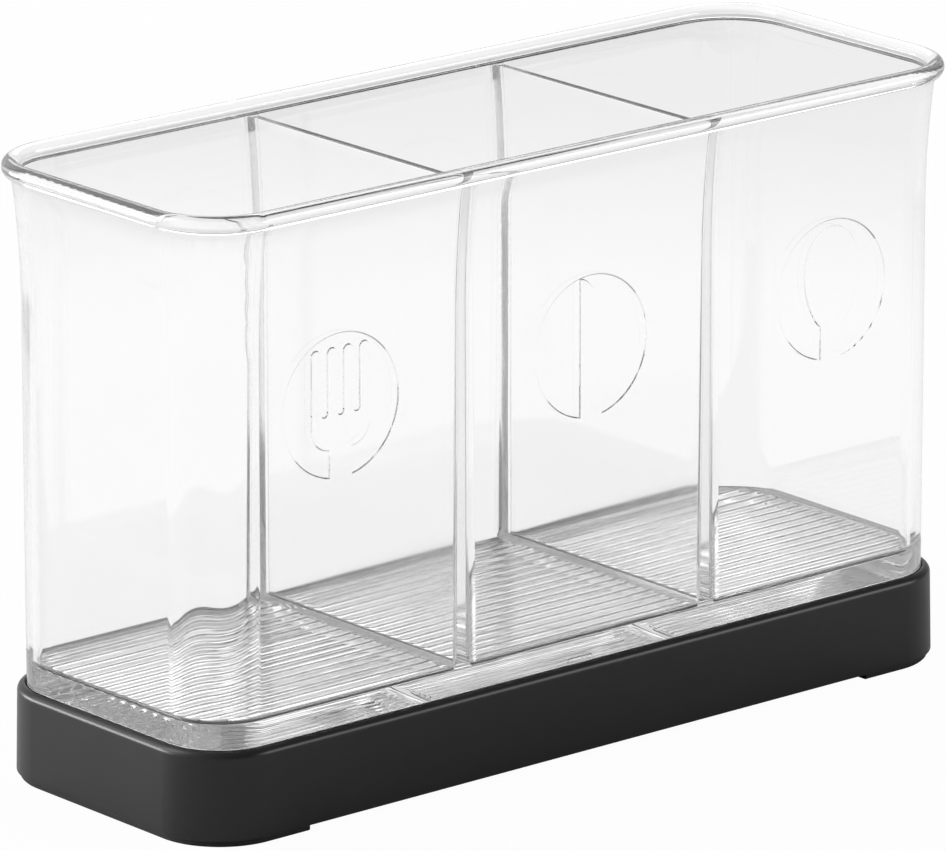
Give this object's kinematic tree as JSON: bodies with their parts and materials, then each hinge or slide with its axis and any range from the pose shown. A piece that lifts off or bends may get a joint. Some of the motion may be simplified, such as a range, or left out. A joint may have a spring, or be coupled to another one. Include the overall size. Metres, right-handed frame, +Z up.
{
  "type": "countertop cutlery caddy",
  "caption": "Clear rounded bin with upright cutlery compartments and a rolled rim, which stands in a dark tray on foot strips and lifts out of it.",
  "frame": {"origin": "middle of the footprint, on the surface that the caddy stands on", "axes": "+X along the length, with the knife sign in the middle and the spoon sign at +X, +Y from the front with the signs to the back, +Z up"},
  "size_m": [0.2412, 0.0882, 0.152],
  "materials": {
    "clear_plastic": "clear moulded styrene, polished",
    "black_plastic": "satin black moulding",
    "black_rubber": "matt black rubber"
  },
  "bodies": {
    "tray": {"tray": "black_plastic", "left_foot": "black_rubber", "right_foot": "black_rubber"},
    "bin": {"bin": "clear_plastic"}
  },
  "joints": [
    {"name": "bin_lift", "type": "slide", "parent": "tray", "child": "bin", "axis": [0, 0, 1], "range_m": [0, 0.04]}
  ]
}
